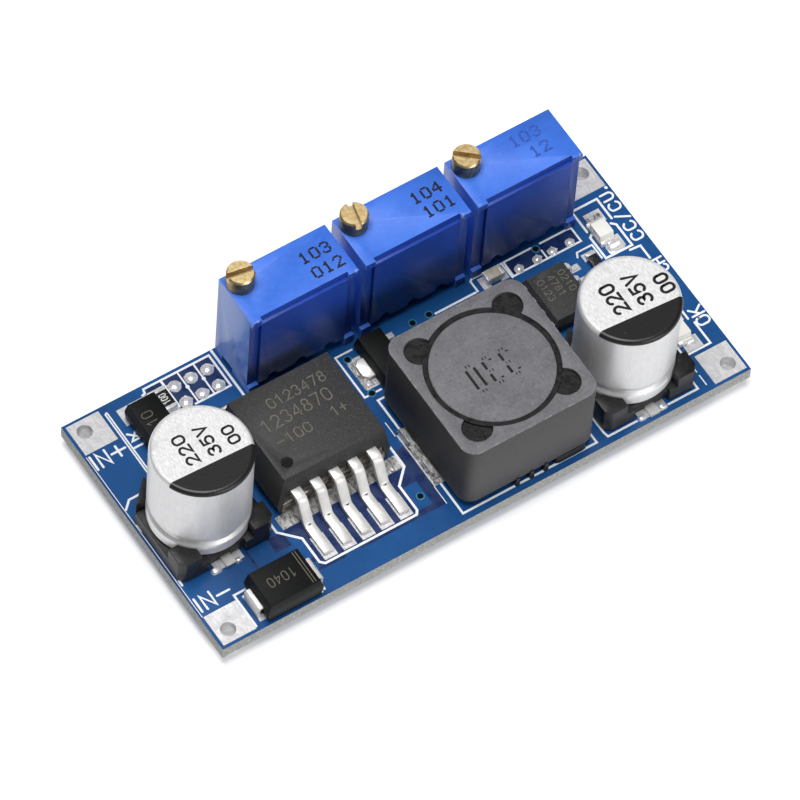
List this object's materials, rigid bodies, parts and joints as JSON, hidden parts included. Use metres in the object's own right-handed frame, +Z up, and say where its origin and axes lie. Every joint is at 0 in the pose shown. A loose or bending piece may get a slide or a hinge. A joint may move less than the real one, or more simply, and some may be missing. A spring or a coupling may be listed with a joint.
{
  "type": "buck converter module",
  "caption": "Adjustable step-down converter board with screw trimpots, shielded inductor, regulator, electrolytic capacitors and corner wire pads.",
  "frame": {"origin": "under the centre of the board, at the tips of the soldered pins that it rests on", "axes": "+X along the board from the input pads to the output pads, +Y to the edge with the trimpots, +Z up out of the component side"},
  "size_m": [0.048, 0.023, 0.0138],
  "materials": {
    "board": "glossy solder mask on fibreglass",
    "tinned_copper": "tinned, slightly uneven",
    "solder": "smooth bright solder",
    "pot_housing": "satin moulded plastic",
    "pot_lid": "epoxy seal",
    "ceramic": "bare ceramic",
    "brass": "turned brass",
    "rubber": "smooth",
    "white_plastic": "moulded",
    "spring_metal": "spring strip",
    "package": "fine moulded texture",
    "ferrite": "matte pressed ferrite",
    "copper_wire": "enamelled wire",
    "black_plastic": "moulded",
    "aluminium_can": "drawn and satin",
    "chip_ceramic": "fired ceramic",
    "lamp_base": "laminate",
    "lamp_lens": "clear moulded resin"
  },
  "bodies": {
    "board": {"amplifier_body": "package", "amplifier_leads": "tinned_copper", "chip_capacitor_ends": "tinned_copper", "chip_capacitors": "chip_ceramic", "chip_resistor_ends": "tinned_copper", "chip_resistors": "package", "circuit_board": "board", "indicator_bases": "lamp_base", "indicator_ends": "tinned_copper", "indicator_lenses": "lamp_lens", "inductor_base": "black_plastic", "inductor_drum": "ferrite", "inductor_glue": "black_plastic", "inductor_shield": "ferrite", "inductor_terminals": "tinned_copper", "inductor_winding": "copper_wire", "input_capacitor_base": "black_plastic", "input_capacitor_can": "aluminium_can", "input_capacitor_leads": "tinned_copper", "input_diode_body": "package", "input_diode_leads": "tinned_copper", "output_capacitor_base": "black_plastic", "output_capacitor_can": "aluminium_can", "output_capacitor_leads": "tinned_copper", "reference_body": "package", "reference_leads": "tinned_copper", "regulator_body": "package", "regulator_leads": "tinned_copper", "regulator_tab": "tinned_copper", "reverse_diode_body": "package", "reverse_diode_leads": "tinned_copper", "solder_bumps": "solder", "solder_pads": "tinned_copper", "terminal_pads": "tinned_copper", "trimpot_1_element": "ceramic", "trimpot_1_housing": "pot_housing", "trimpot_1_lid": "pot_lid", "trimpot_1_pins": "tinned_copper", "trimpot_2_element": "ceramic", "trimpot_2_housing": "pot_housing", "trimpot_2_lid": "pot_lid", "trimpot_2_pins": "tinned_copper", "trimpot_3_element": "ceramic", "trimpot_3_housing": "pot_housing", "trimpot_3_lid": "pot_lid", "trimpot_3_pins": "tinned_copper", "trimpot_solder": "solder"},
    "screw_1": {"trimpot_1_screw": "brass", "trimpot_1_o_ring": "rubber"},
    "wheel_1": {"trimpot_1_wheel": "white_plastic", "trimpot_1_wiper": "spring_metal"},
    "screw_2": {"trimpot_2_screw": "brass", "trimpot_2_o_ring": "rubber"},
    "wheel_2": {"trimpot_2_wheel": "white_plastic", "trimpot_2_wiper": "spring_metal"},
    "screw_3": {"trimpot_3_screw": "brass", "trimpot_3_o_ring": "rubber"},
    "wheel_3": {"trimpot_3_wheel": "white_plastic", "trimpot_3_wiper": "spring_metal"}
  },
  "joints": [
    {"name": "screw_1_turn", "type": "hinge", "parent": "board", "child": "screw_1", "pos_m": [-0.00907, 0.01015, 0.0122], "axis": [0, 0, 1], "range_deg": [-4500, 4500]},
    {"name": "wheel_1_turn", "type": "hinge", "parent": "board", "child": "wheel_1", "pos_m": [-0.00547, 0.01015, 0.00717], "axis": [0, 1, 0], "range_deg": [-150, 150]},
    {"name": "screw_2_turn", "type": "hinge", "parent": "board", "child": "screw_2", "pos_m": [0.00112, 0.01015, 0.0122], "axis": [0, 0, 1], "range_deg": [-4500, 4500]},
    {"name": "wheel_2_turn", "type": "hinge", "parent": "board", "child": "wheel_2", "pos_m": [0.00473, 0.01015, 0.00717], "axis": [0, 1, 0], "range_deg": [-150, 150]},
    {"name": "screw_3_turn", "type": "hinge", "parent": "board", "child": "screw_3", "pos_m": [0.01132, 0.01015, 0.0122], "axis": [0, 0, 1], "range_deg": [-4500, 4500]},
    {"name": "wheel_3_turn", "type": "hinge", "parent": "board", "child": "wheel_3", "pos_m": [0.01493, 0.01015, 0.00717], "axis": [0, 1, 0], "range_deg": [-150, 150]}
  ],
  "couplings": [
    {"joint": "wheel_1_turn", "follows": "screw_1_turn", "ratio": -0.033333},
    {"joint": "wheel_2_turn", "follows": "screw_2_turn", "ratio": -0.033333},
    {"joint": "wheel_3_turn", "follows": "screw_3_turn", "ratio": -0.033333}
  ]
}
